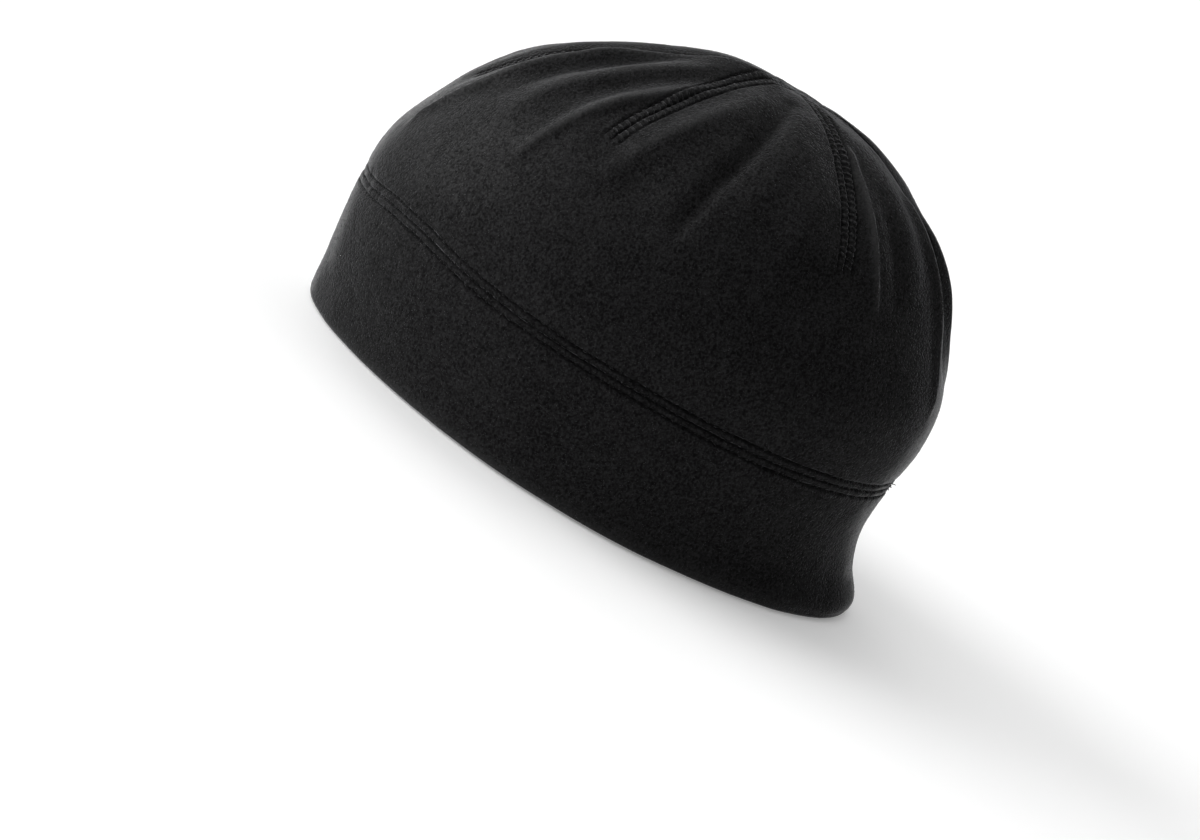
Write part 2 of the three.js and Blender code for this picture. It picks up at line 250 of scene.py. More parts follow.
def dartRelief(dart, place, run):
    # A valley with a soft lip along each side, narrow towards the apex and fading past the dart's end
    along, across = alongAndAcross(dart, place)
    width = np.clip(run / valleyAlong["wide"], valleyAlong["leastWidth"], 1)
    floor = -dart["depth"] * bell(across, valley["half"] * width)
    lips = valley["lipHeight"] * bell(np.abs(across) - valley["lipOffset"] * width, valley["lipHalf"] * width)
    begun = smooth(along, valleyAlong["starts"], valleyAlong["deep"])
    over = smooth(along - dart["length"], valleyAlong["fadesFrom"], valleyAlong["fadesTo"])
    return (floor + lips) * begun * (1 - over)


def foldLine(fold, place):
    # A place told by a fold's bowed line: the share of its length, how far aside and how far past its ends
    start = flatPlace(fold["run1"], math.radians(fold["turn1"]))
    way = flatPlace(fold["run2"], math.radians(fold["turn2"])) - start
    length = np.linalg.norm(way)
    line = way / length
    along = (place - start) @ line
    share = np.clip(along / length, 0, 1)
    aside = line[0] * (place - start)[..., 1] - line[1] * (place - start)[..., 0]
    return share, aside - fold.get("bow", 0.0) * 4 * share * (1 - share), along - share * length


def swell(share, begins):
    # Half a sine along a line, begun and ended that share of it inside its two zeros
    return np.sin(np.pi * (begins + (1 - 2 * begins) * share))


def foldRelief(fold, place):
    # A bell across the fold's line, with its own half width on each side, strongest halfway along
    share, aside, past = foldLine(fold, place)
    half = np.where(aside > 0, fold.get("farHalf", fold["half"]), fold.get("nearHalf", fold["half"]))
    profile = bell(aside, half) * bell(past, fold["half"])
    return fold["height"] * swell(share, foldBegins["height"]) * profile


def clothNoise(points, size, seed):
    # Smooth random heights from -1 to 1: a cube of random numbers, size apart, blended between its corners
    side = 32
    lattice = np.random.default_rng(seed).uniform(-1, 1, (side, side, side))
    place = points / size
    corner = np.floor(place).astype(int)
    share = place - corner
    share = share * share * (3 - 2 * share)
    total = 0
    for step in np.ndindex(2, 2, 2):
        weight = np.prod(np.where(step, share, 1 - share), axis=-1)
        i, j, k = ((corner + step) % side).transpose(-1, *range(corner.ndim - 1))
        total = total + weight * lattice[i, j, k]
    return total


def lumps(kind, points, seed=None):
    return kind["height"] * clothNoise(points, kind["size"], kind["seed"] if seed is None else seed)


def seamLines(distance, gap, depth, half):
    # Three needle lines a gap apart, each a bell cut into the cloth
    return -depth * sum(bell(distance - k * gap, half) for k in (-1, 0, 1))


def strayOf(points):
    # How far the band's needle lines lie under their own heights
    return seamStray["most"] * clothNoise(points, seamStray["size"], seamStray["seed"])


def sewnShare(dart, along):
    # 1 where a dart is sewn, and 0 before and past that
    over = smooth(along, dart["length"] + dartSeam["fadesFrom"], dart["length"] + dartSeam["fadesTo"])
    return smooth(along, dartSeam["starts"], dartSeam["full"]) * (1 - over)


def relief(angle, row, fine=True):
    # The darts and folds, and where fine is true the needle lines, puckers and unevenness of worn cloth too
    run = np.interp(row, fineRows, fineRuns)
    place = flatPlace(run, angle)
    fromGather = np.linalg.norm(place - np.array(gather), axis=-1)
    height = -apexPit["depth"] * bell(fromGather, apexPit["half"])
    for dart in darts:
        height = height + dartRelief(dart, place, run)
    for fold in folds:
        height = height + foldRelief(fold, place)
    overSeam = measure("height", row) - seamHeight(angle)
    height = height - seam["dip"] * bell(overSeam, seam["dipHalf"])
    if not fine:
        return height
    points = plainPoint(angle, row)
    height = height + lumps(apexPucker, points) * bell(fromGather, apexPucker["half"])
    for lump in unevenness:
        height = height + lumps(lump, points)
    uneven = 1 + lineUneven["share"] * clothNoise(points, lineUneven["size"], lineUneven["seed"])
    strayed = overSeam + strayOf(points)
    height = height + uneven * seamLines(strayed, seam["lineGap"], seam["lineDepth"], seam["lineHalf"])
    height = height + lumps(seamBump, points) * bell(overSeam, 2 * seam["lineGap"])
    height = height + lumps(pucker, points, pucker["seamSeed"]) * bell(overSeam, 2 * pucker["half"])
    for dart in darts:
        along, across = alongAndAcross(dart, place)
        across = across / flatStretch(run)
        lines = seamLines(across, dartSeam["lineGap"], dartSeam["lineDepth"], dartSeam["lineHalf"])
        ripple = lumps(pucker, points, pucker["dartSeed"]) * bell(across, pucker["half"])
        height = height + sewnShare(dart, along) * (uneven * lines + ripple)
    return height


def skinPoint(angle, row, depth=0.0, fine=True):
    out = outward(angle, row)
    return plainPoint(angle, row) + out * (relief(angle, row, fine) - depth)[..., None]


def makeMesh(name, vertices, quads, triangles=None):
    # One mesh from whole arrays: vertices in millimetres, and faces as rows of vertex numbers
    triangles = np.zeros((0, 3), int) if triangles is None else triangles
    corners = np.concatenate((quads.ravel(), triangles.ravel()))
    sizes = np.concatenate((np.full(len(quads), 4), np.full(len(triangles), 3)))
    mesh = bpy.data.meshes.new(name)
    mesh.vertices.add(len(vertices))
    mesh.vertices.foreach_set("co", (vertices * mm).astype(np.float32).ravel())
    mesh.loops.add(len(corners))
    mesh.loops.foreach_set("vertex_index", corners.astype(np.int32))
    mesh.polygons.add(len(sizes))
    mesh.polygons.foreach_set("loop_start", (np.cumsum(sizes) - sizes).astype(np.int32))
    mesh.update(calc_edges=True)
    mesh.shade_smooth()
    piece = bpy.data.objects.new(name, mesh)
    scene.collection.objects.link(piece)
    return piece


def chainMesh(name, loops, poles=None):
    # A closed skin from a chain of loops. Two poles cap it with fans, and without them it joins up in a ring.
    count, columns = loops.shape[:2]
    vertices = loops.reshape(-1, 3)
    here = np.arange(count if poles is None else count - 1)[:, None] * columns
    beyond = (here + columns) % (count * columns)
    i = np.arange(columns)[None]
    j = (i + 1) % columns
    quads = np.stack([here + i, beyond + i, beyond + j, here + j], axis=-1).reshape(-1, 4)
    if poles is None:
        return makeMesh(name, vertices, quads)
    i, j, end = i[0], j[0], (count - 1) * columns
    first, last = len(vertices), len(vertices) + 1
    top = np.stack([np.full(columns, first), i, j], 1)
    bottom = np.stack([np.full(columns, last), end + j, end + i], 1)
    return makeMesh(name, np.concatenate((vertices, poles)), quads, np.concatenate((top, bottom)))


def setShare(piece, name, values):
    # A share for each point of a mesh, for its material to read; the points past the given ones get nothing
    shares = np.zeros(len(piece.data.vertices), np.float32)
    shares[: values.size] = np.clip(values, 0, 1).ravel()
    layer = piece.data.attributes.new(name, "FLOAT", "POINT")
    layer.data.foreach_set("value", shares)


def paintedHighlightShare(angle, row):
    # A painted highlight along the folds' tops, standing in for the light they catch: a narrow bell over each,
    # strongest halfway along
    place = flatPlace(np.interp(row, fineRows, fineRuns), angle)
    total = 0.0
    for fold in folds:
        share, aside, past = foldLine(fold, place)
        lit = fold.get("crest", 0.0) * swell(share, foldBegins["crest"])
        total = total + lit * bell(aside, crestHalf) * bell(past, fold["half"])
    return total


def paintedShadeShare(angle, row):
    # The share of painted shade at each point, darkening its colour down in a needle line and in a shaded
    # dart's valley
    run = np.interp(row, fineRows, fineRuns)
    place = flatPlace(run, angle)
    strayed = measure("height", row) - seamHeight(angle) + strayOf(plainPoint(angle, row))
    share = -seamLines(strayed, seam["lineGap"], 1.0, seam["lineHalf"])
    for dart in darts:
        along, across = alongAndAcross(dart, place)
        sewn = sewnShare(dart, along)
        share = share + sewn * dart.get("shade", 0.0) * bell(across, valley["half"])
        across = across / flatStretch(run)
        share = share - sewn * seamLines(across, dartSeam["lineGap"], 1.0, dartSeam["lineHalf"])
    return share


# The dart lines that the columns follow: how far out they are worked out and in how many steps, and the run
# nearer than which they keep their direction. power crowds the columns towards them.
columnLines = dict(reach=150, steps=301, leastRun=12, power=2.2)


def columnAngles(run, columnsPerDart, crowding):
    # Directions for each run: columns follow the six dart lines, crowded towards them by a straight share
    # plus a power of the way to the middle between two darts
    c = columnLines
    way = np.linspace(-1, 1, columnsPerDart, endpoint=False)
    share = crowding * way + (1 - crowding) * np.sign(way) * np.abs(way) ** c["power"]
    along = np.linspace(0, c["reach"], c["steps"])
    lines = []
    for dart in darts:
        angle, runs = dartPlace(dart, along, 0.0)
        kept = runs > c["leastRun"]
        start = math.radians(dart["direction"])
        turned = start + (angle[kept] - start + np.pi) % (2 * np.pi) - np.pi
        lines.append(np.interp(run, runs[kept], turned))
    parts = []
    for k, line in enumerate(lines):
        before = lines[k - 1] - (2 * np.pi if k == 0 else 0)
        after = lines[(k + 1) % len(lines)] + (2 * np.pi if k == len(lines) - 1 else 0)
        gap = np.where(share < 0, line - before, after - line) / 2
        parts.append(line + share * gap)
    return np.concatenate(parts, axis=-1)


def steppedDistances(fineStep, fineTo, growth, coarseStep, total):
    # Distances from a seam: fine steps first, growing by a ratio to coarse ones
    distances = list(np.arange(0, fineTo, fineStep))
    step = fineStep
    while distances[-1] + step < total:
        distances.append(distances[-1] + step)
        step = min(step * growth, coarseStep)
    return np.array(distances)


# The crown: one layer of fleece from the apex down to the seam, round its edge and up the inside. edgeGap
# keeps it off the seam's middle, and apexGap its first loop off the pole. Its edge is first looked for at the
# columns that lie rimRise up the cloth from the hem. lipShares are the depths of the loops in its edge, as
# shares of the wall, here and in the band.
seamSteps = dict(fineStep=0.24, fineTo=4.6, growth=1.12)
crownSizes = dict(wall=2.2, columnsPerDart=90, crowding=0.22, coarseStep=1.05, innerLoops=20, edgeGap=0.04,
                  apexGap=0.4, rimRise=45, lipShares=(0.33, 0.66))


def makeCrown():
    s = crownSizes
    rim = columnAngles(np.array([[fineRuns[0] - s["rimRise"]]]), s["columnsPerDart"], s["crowding"])
    edgeRow = rowAtHeight(seamHeight(rim) + s["edgeGap"])
    edgeRun = np.interp(edgeRow, fineRows, fineRuns)
    longest = edgeRun.max()
    distances = steppedDistances(**seamSteps, coarseStep=s["coarseStep"], total=longest - s["apexGap"])
    distances = distances[::-1, None]
    runs = edgeRun * (1 - distances / longest)
    angles = columnAngles(runs.mean(axis=1, keepdims=True), s["columnsPerDart"], s["crowding"])
    edgeRuns = np.interp(rowAtHeight(seamHeight(angles) + s["edgeGap"]), fineRows, fineRuns)
    rows = rowAtRun(edgeRuns * runs / edgeRun)
    outer = skinPoint(angles, rows)
    lip = [skinPoint(angles[-1:], rows[-1:], depth) for depth in s["wall"] * np.array(s["lipShares"])]
    innerShares = np.linspace(1, 0, s["innerLoops"], endpoint=False)[:, None]
    lastRun = np.interp(rows[-1:], fineRows, fineRuns)
    inner = skinPoint(angles[-1:] + 0 * innerShares, rowAtRun(lastRun * innerShares), s["wall"], fine=False)
    top = sections[lastRow]
    poleHeight = top["height"] - apexPit["depth"] * math.exp(-((gather[0] / apexPit["half"]) ** 2))
    poles = np.array([[0, top["front"], poleHeight], [0, top["front"], poleHeight - s["wall"]]])
    piece = chainMesh("crownCloth", np.concatenate((outer, *lip, inner)), poles)
    # Painted shade: a darker colour in the needle lines and in the shaded dart valleys
    setShare(piece, "paintedGrooveShade", paintedShadeShare(angles, rows))
    # Painted highlight: a lighter colour along the folds' tops
    setShare(piece, "crest", paintedHighlightShare(angles, rows))
    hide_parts("crown")
    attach(piece, "root")
    return piece, makeNap("crownNap", outer, crownNapSizes)


# The band: two layers of fleece, from the seam down to the folded hem and up the inside. hemSink is how far
# the fold is pressed flat, and the nap goes down the fold as far as the loop before nappedLoops.
bandSizes = dict(wall=4.2, hemSink=0.2, hemRise=0.4, columns=640, coarseStep=0.8, innerLoops=18, edgeGap=0.04,
                 foldLoops=8, lipShares=(0.7, 0.35), nappedLoops=12)
hemEdgeHighlight = dict(share=0.55, reach=1.9)  # how strong a painted highlight on the fold's edge is, standing in for the light its rounded fold catches, and how far up that fades


def makeBand():
    s = bandSizes
    angle = np.linspace(0, 2 * np.pi, s["columns"], endpoint=False)[None]
    top = seamHeight(angle) - s["edgeGap"]
    radius = s["wall"] / 2
    foot = math.asin(1 - s["hemSink"] / radius)
    rise = s["hemRise"] * np.sin(angle) ** 2  # the hem stands off the floor at the sides
    middle = radius - s["hemSink"] + rise
    deepest = (top - middle).max()
    distances = steppedDistances(**seamSteps, coarseStep=s["coarseStep"], total=deepest)[:, None]
    rows = rowAtHeight(top - (top - middle) * distances / deepest)
    outer = skinPoint(angle + 0 * rows, rows)
    foldLoops = []
    turns = np.linspace(0, foot, s["foldLoops"])
    for turn in np.concatenate((turns, np.pi - turns[::-1])):
        loop = skinPoint(angle, rowAtHeight(middle), radius * (1 - math.cos(turn)))
        loop[..., 2] = np.maximum(0, middle - radius * math.sin(turn))
        foldLoops.append(loop)
    innerShares = np.linspace(0, 1, s["innerLoops"])[1:, None]
    innerRows = rowAtHeight(middle + (top - middle) * innerShares)
    inner = skinPoint(angle + 0 * innerRows, innerRows, s["wall"], fine=False)
    rim = [skinPoint(angle, rowAtHeight(top), s["wall"] * share) for share in s["lipShares"]]
    piece = chainMesh("bandCloth", np.concatenate((outer, *foldLoops, inner, *rim)))
    # Painted shade: a darker colour in the band's needle lines
    setShare(piece, "paintedGrooveShade", paintedShadeShare(angle + 0 * rows, rows))
    # Painted highlight: a lighter colour along the hem's lower edge, fading upwards from the fold
    heights = np.concatenate((outer, *foldLoops))[..., 2] - rise
    setShare(piece, "crest", hemEdgeHighlight["share"] * np.exp(-heights / hemEdgeHighlight["reach"]))
    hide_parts("band")
    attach(piece, "root")
    return piece, makeNap("bandNap", np.concatenate((outer, *foldLoops[1 : s["nappedLoops"]])), bandNapSizes)


def threadMesh(name, centres, normals, radii, flat=1.0, sides=6):
    # Many short threads at once: a ring of sides round each point of each thread, and a point at each end.
    # flat is a thread's height as a share of its width.
    # centres and normals are threads x points x 3, and radii threads x points, or 1 x points for all alike.
    threads, points = centres.shape[:2]
    tangent = np.gradient(centres, axis=1)
    tangent /= np.linalg.norm(tangent, axis=-1, keepdims=True)
    beside = np.cross(tangent, normals)
    beside /= np.linalg.norm(beside, axis=-1, keepdims=True)
    above = np.cross(beside, tangent)
    turn = np.linspace(0, 2 * np.pi, sides, endpoint=False)
    ring = np.cos(turn)[:, None] * beside[:, :, None] + flat * np.sin(turn)[:, None] * above[:, :, None]
    rings = centres[:, :, None] + ring * radii[:, :, None, None]
    tips = np.array([[-threadTip], [threadTip]])[None]
    ends = centres[:, [0, -1]] + tangent[:, [0, -1]] * radii[:, [0, -1], None] * tips
    vertices = np.concatenate((rings.reshape(threads, -1, 3), ends), axis=1)
    each = points * sides + 2
    base = (np.arange(threads) * each)[:, None, None]
    k = (np.arange(points - 1) * sides)[None, :, None]
    i = np.arange(sides)[None, None]
    j = (i + 1) % sides
    near = base + k
    quads = np.stack([near + i, near + j, near + sides + j, near + sides + i], -1).reshape(-1, 4)
    tip = base[:, :, 0] + each - 2
    i, j, end = i[0], j[0], (points - 1) * sides
    starts = np.stack([tip + 0 * i, base[:, 0] + j, base[:, 0] + i], -1)
    stops = np.stack([tip + 1 + 0 * i, base[:, 0] + end + i, base[:, 0] + end + j], -1)
    triangles = np.concatenate((starts, stops)).reshape(-1, 3)
    return makeMesh(name, vertices.reshape(-1, 3), quads, triangles)


# The stitching. lift is how high a thread's middle stands over the cloth, and below zero it is sunk in.
# reach is close to the seam's own distance from the middle, and sets how many stitches go round.
bandStitch = dict(pitch=2.9, length=2.0, radius=0.26, lift=0.02, endLift=-0.3, points=5, reach=91)
# A rung leans by lean from one side to the other, and one column stands shift before the starts and the other
# as far behind. Its size is the least of 1, start / fullFrom and endShare + (length - start) / endRun, but no
# less than leastShare. most is the longest rung's share of the gap.
dartRung = dict(pitch=2.4, radius=0.54, bend=0.45, flat=0.75, lift=0.1, endLift=-0.25, lean=0.7, points=5,
                inset=0.1, shift=0.4, firstAt=7.0, fullFrom=34.0, leastShare=0.4, endShare=0.35, endRun=12,
                uneven=0.16, most=1.05)
dartStitch = dict(length=1.7, radius=0.24, lift=0.0, endLift=-0.3, points=5)
stitchWander = 0.12  # millimetres that a stitch's middle strays from its line
threadTaper = 0.16  # how far into half a sine a thread begins, by its thickness
threadTip = 0.6  # how far each end's point stands out, as a share of the radius there


def threadRadii(radius, points, bend=1.0):
    # Thick in the middle and thin at the ends; a lesser bend keeps it thick for longer
    return radius * np.sin(np.pi * np.linspace(threadTaper, 1 - threadTaper, points))[None] ** bend


def archedLift(stitch):
    # A parabola from endLift up to lift halfway and down again
    way = np.linspace(-1, 1, stitch["points"])
    return stitch["endLift"] + (stitch["lift"] - stitch["endLift"]) * (1 - way**2)


def bandStitches():
    # Three rows of needle stitches round the seam, one in each line
    s = bandStitch
    random = np.random.default_rng(21)
    count = round(2 * np.pi * s["reach"] / s["pitch"])
    middle = np.linspace(0, 2 * np.pi, count, endpoint=False)[:, None]
    along = np.linspace(-0.5, 0.5, s["points"])[None] * s["length"] / s["pitch"] * 2 * np.pi / count
    centres, normals = [], []
    for line in (-1, 0, 1):
        angle = middle + along + random.normal(0, stitchWander / count, (count, 1))
        stray = random.normal(0, stitchWander, (count, 1))
        row = rowAtHeight(seamHeight(angle) + line * seam["lineGap"] + stray)
        strayed = stray - strayOf(plainPoint(angle, row))
        row = rowAtHeight(seamHeight(angle) + line * seam["lineGap"] + strayed)
        normals.append(outward(angle, row))
        centres.append(skinPoint(angle, row) + normals[-1] * archedLift(s)[None, :, None])
    radii = threadRadii(s["radius"], s["points"])
    return threadMesh("bandStitching", np.concatenate(centres), np.concatenate(normals), radii)


def dartPoint(dart, along, across, lift):
    # A point over the cloth beside a dart's line; across is the real distance, stretched for the flat crown
    angle, run = dartPlace(dart, along, across * flatStretch(along))
    row = rowAtRun(run)
    normal = outward(angle, row)
    return skinPoint(angle, row) + normal * lift[..., None], normal


def dartStitches(dart, seed):
    # Two columns of rungs between the three needle lines, thin near the apex, full from fullFrom outwards and
    # thin again at the dart's end, and short stitches in the lines themselves
    random = np.random.default_rng(seed)
    rung, stitch, gap = dartRung, dartStitch, dartSeam["lineGap"]
    starts = np.arange(rung["firstAt"], dart["length"] - 1, rung["pitch"])[:, None]
    way = np.linspace(-0.5, 0.5, rung["points"])[None]
    ending = rung["endShare"] + (dart["length"] - starts) / rung["endRun"]
    full = np.clip(np.minimum(starts / rung["fullFrom"], ending), rung["leastShare"], 1)
    centres, normals, radii = [], [], []
    for column in (-1, 1):
        along = starts + column * rung["shift"] + way * rung["lean"]
        along = along + random.normal(0, stitchWander, starts.shape)
        reach = (gap - 2 * rung["inset"]) * random.uniform(1 - rung["uneven"], rung["most"], starts.shape)
        size = full * random.uniform(1 - rung["uneven"], 1 + rung["uneven"], starts.shape)
        point, normal = dartPoint(dart, along, column * gap / 2 + way * reach, archedLift(rung)[None] * size)
        centres.append(point)
        normals.append(normal)
        radii.append(threadRadii(rung["radius"], rung["points"], rung["bend"]) * size)
    rungs = (np.concatenate(centres), np.concatenate(normals), np.concatenate(radii))
    centres, normals = [], []
    for line in (-1, 0, 1):
        along = starts + way * stitch["length"] + random.normal(0, stitchWander, starts.shape)
        across = line * gap + random.normal(0, stitchWander / 2, starts.shape)
        point, normal = dartPoint(dart, along, across + 0 * along, archedLift(stitch)[None] + 0 * along)
        centres.append(point)
        normals.append(normal)
    return rungs, (np.concatenate(centres), np.concatenate(normals))


def makeDartStitching():
    parts = [dartStitches(dart, 31 + k) for k, dart in enumerate(darts)]
    rungs = [np.concatenate([part[0][k] for part in parts]) for k in (0, 1, 2)]
    lines = [np.concatenate([part[1][k] for part in parts]) for k in (0, 1)]
    return [
        threadMesh("dartRungs", *rungs, dartRung["flat"]),
        threadMesh("dartStitching", *lines, threadRadii(dartStitch["radius"], dartStitch["points"])),
    ]


# The loose thread ends at the nape, where the band's seam starts and stops
napeThread = dict(direction=175.0, spread=2.0, height=44.4, heightSpread=1.6, count=7, length=1.3,
                  lengthShares=(0.5, 1.2), sunk=0.3, droop=0.3, radius=0.2, tipShare=0.6, points=6, stray=0.5)


def makeNapeThread():
    s = napeThread
    random = np.random.default_rng(61)
    one = (s["count"], 1)
    angle = np.radians(s["direction"] + random.uniform(-1, 1, one) * s["spread"])
    row = rowAtHeight(s["height"] + random.uniform(-1, 1, one) * s["heightSpread"])
    out = outward(angle, row)
    share = np.linspace(0, 1, s["points"])[None, :, None]
    way = out + random.normal(0, s["stray"], out.shape)
    way = way * random.uniform(*s["lengthShares"], (*one, 1)) * s["length"]
    centres = skinPoint(angle, row) - s["sunk"] * out + way * share - np.array([0, 0, s["droop"]]) * share**2
    radii = s["radius"] * np.linspace(1, s["tipShare"], s["points"])[None]
    return threadMesh("napeThread", centres, np.array([0, 0, 1.0]) + 0 * centres, radii)


# The nap: short loose fibres that stand off the brushed outside, each a closed four-sided sliver. A fibre's
# way is upright times the cloth's normal plus a random step of size stray, and no tip is lower than lowest.
crownNapSizes = dict(count=49000, shortest=0.45, longest=1.7, root=0.05, upright=0.8, stray=0.6, sunk=0.08,
                     lowest=0.02, seed=51)
bandNapSizes = dict(crownNapSizes, count=42000, seed=52)


def makeNap(name, grid, s):
    # Places are drawn evenly over the grid's area, and each fibre leans its own way from the cloth's normal
    random = np.random.default_rng(s["seed"])
    beside, above = np.roll(grid[:-1], -1, axis=1), grid[1:]
    opposite = np.roll(above, -1, axis=1)
    square = np.cross(opposite - grid[:-1], above - beside).reshape(-1, 3)
    area = np.linalg.norm(square, axis=-1)
    chosen = random.choice(len(area), s["count"], p=area / area.sum())
    normal = square[chosen] / area[chosen, None]
    u, v = random.uniform(0, 1, (2, s["count"], 1))
    low, high = grid[:-1].reshape(-1, 3)[chosen], above.reshape(-1, 3)[chosen]
    lowNext, highNext = beside.reshape(-1, 3)[chosen], opposite.reshape(-1, 3)[chosen]
    root = (low * (1 - u) + lowNext * u) * (1 - v) + (high * (1 - u) + highNext * u) * v - normal * s["sunk"]
    way = normal * s["upright"] + random.normal(0, s["stray"], (s["count"], 3))
    way /= np.linalg.norm(way, axis=-1, keepdims=True)
    way *= np.sign(np.sum(way * normal, axis=-1, keepdims=True))
    tip = root + way * random.uniform(s["shortest"], s["longest"], (s["count"], 1))
    tip[:, 2] = np.maximum(tip[:, 2], s["lowest"])
    aside = np.cross(way, random.normal(0, 1, (s["count"], 3)))
    aside /= np.linalg.norm(aside, axis=-1, keepdims=True)
    along = np.cross(way, aside)
    turns = np.radians([0, 120, 240])[None, :, None]
    base = root[:, None] + s["root"] * (np.cos(turns) * aside[:, None] + np.sin(turns) * along[:, None])
    vertices = np.concatenate((base, tip[:, None]), axis=1).reshape(-1, 3)
    corners = np.array([[0, 2, 1], [0, 1, 3], [1, 2, 3], [2, 0, 3]])
    faces = (np.arange(s["count"])[:, None, None] * 4 + corners).reshape(-1, 3)
    return makeMesh(name, vertices, np.zeros((0, 4), int), faces)


print("shapes: crown and band")
crownCloth, crownNap = makeCrown()
bandCloth, bandNap = makeBand()
print("shapes: stitching")
threads = [bandStitches(), makeNapeThread(), *makeDartStitching()]
slotNames = ("band_fleece", "band_fleece", "crown_fleece", "crown_fleece", "crown_fleece", "band_fleece")
for piece, slotName in zip((*threads, crownNap, bandNap), slotNames):
    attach(piece, "root")


# Materials
def newGroup(name, inputs, outputs):
    group = bpy.data.node_groups.new(name, "ShaderNodeTree")
    for label, kind, value in inputs:
        socket = group.interface.new_socket(label, in_out="INPUT", socket_type=kind)
        if value is not None:
            socket.default_value = value
    for label, kind in outputs:
        group.interface.new_socket(label, in_out="OUTPUT", socket_type=kind)
    return group, group.nodes.new("NodeGroupInput"), group.nodes.new("NodeGroupOutput")


def addNode(tree, kind, **settings):
    # A node with its settings; one named as a socket is, with _ for a blank, sets that socket's value
    node = tree.nodes.new(kind)
    for name, value in settings.items():
        label = name.replace("_", " ")
        if hasattr(node, name):
            setattr(node, name, value)
        else:
            node.inputs[label].default_value = value
    return node


def mathNode(tree, operation, first, second):
    node = addNode(tree, "ShaderNodeMath", operation=operation)
    for socket, value in zip(node.inputs, (first, second)):
        if isinstance(value, (int, float)):
            socket.default_value = value
        else:
            tree.links.new(value, socket)
    return node.outputs[0]


def brushedNapGroup():
    # Brushed fleece: short matted fibres, small tufts and a broad mottle, as one height and one shade
    group, inside, out = newGroup(
        "brushedNap",
        [("Vector", "NodeSocketVector", None), ("Fibre Scale", "NodeSocketFloat", 1250.0),
         ("Tuft Scale", "NodeSocketFloat", 620.0), ("Mottle Scale", "NodeSocketFloat", 90.0)],
        [("Height", "NodeSocketFloat"), ("Shade", "NodeSocketFloat")],
    )
    links = group.links
    layers = []
    noises = (("Fibre Scale", 2.0, 0.6), ("Tuft Scale", 2.0, 0.3), ("Mottle Scale", 3.0, 0.2))
    for label, detail, bend in noises:
        noise = addNode(group, "ShaderNodeTexNoise", Detail=detail, Roughness=0.6, Distortion=bend)
        links.new(inside.outputs["Vector"], noise.inputs["Vector"])
        links.new(inside.outputs[label], noise.inputs["Scale"])
        layers.append(noise.outputs["Fac"])
    fibre, tuft, mottle = layers
    blends = dict(Height=((fibre, 0.6), (tuft, 0.4)), Shade=((fibre, 0.65), (tuft, 0.25), (mottle, 0.1)))
    for label, parts in blends.items():
        total = None
        for layer, share in parts:
            scaled = mathNode(group, "MULTIPLY", layer, share)
            total = scaled if total is None else mathNode(group, "ADD", total, scaled)
        links.new(total, out.inputs[label])
    return group


brushedNap = brushedNapGroup()
# groove is the colour of painted shade, for the needle lines and the shaded dart valleys
fleeceLook = dict(dark=(0.0015, 0.0015, 0.0016, 1), light=(0.016, 0.016, 0.0166, 1),
                  # crest is the colour of a painted highlight, for the folds' tops and the hem's edge
                  paintedGrooveShade=(0.0018, 0.0018, 0.0019, 1), crest=(0.06, 0.06, 0.061, 1),
                  shadeFrom=0.4, shadeTo=0.62, napDepth=0.0008, napStrength=1.0, roughness=0.92,
                  specular=0.08, alpha=1.0, sheen=0.3, sheenRoughness=0.2,
                  sheenTint=(0.95, 0.96, 1, 1), coat=0.1, edgeCoat=0.65, coatRoughness=0.4, coatIor=1.3,
                  edgeFrom=0.64, edgeTo=0.88, tuftLow=0.4, tuftHigh=1.6)
plainSockets = {
    "Roughness": "roughness", "Specular IOR Level": "specular", "Alpha": "alpha", "Sheen Weight": "sheen",
    "Sheen Roughness": "sheenRoughness", "Sheen Tint": "sheenTint", "Coat Roughness": "coatRoughness",
    "Coat IOR": "coatIor",
}


